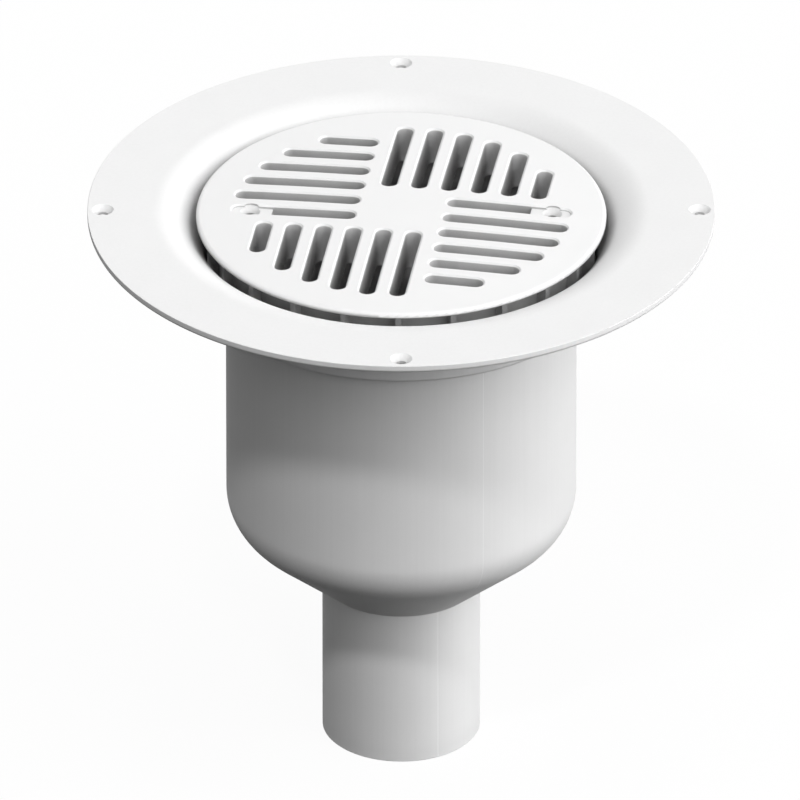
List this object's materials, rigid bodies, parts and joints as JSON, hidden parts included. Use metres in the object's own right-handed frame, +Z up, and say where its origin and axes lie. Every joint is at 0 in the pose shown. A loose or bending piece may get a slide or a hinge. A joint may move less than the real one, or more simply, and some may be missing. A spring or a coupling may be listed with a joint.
{
  "type": "floor drain",
  "caption": "Round white plastic floor drain: screw flange with a rounded mouth, slotted strainer on a ribbed clamp ring, lift-out bell trap and an upright spigot outlet.",
  "frame": {"origin": "the flange's axis at its underside, where it lies on the floor's deck", "axes": "+Z up along the drain's axis, out of the strainer; +X through two of the flange's screw holes"},
  "size_m": [0.2966, 0.2966, 0.2818],
  "materials": {
    "white_plastic": "satin",
    "strainer_plastic": "fine satin",
    "trap_plastic": "satin",
    "seal_rubber": "matte"
  },
  "bodies": {
    "root": {"drain_body": "white_plastic", "clamp_ring": "white_plastic", "strainer": "strainer_plastic", "trap_standpipe": "trap_plastic", "trap_seal": "seal_rubber", "trap_bell": "trap_plastic"}
  },
  "joints": []
}
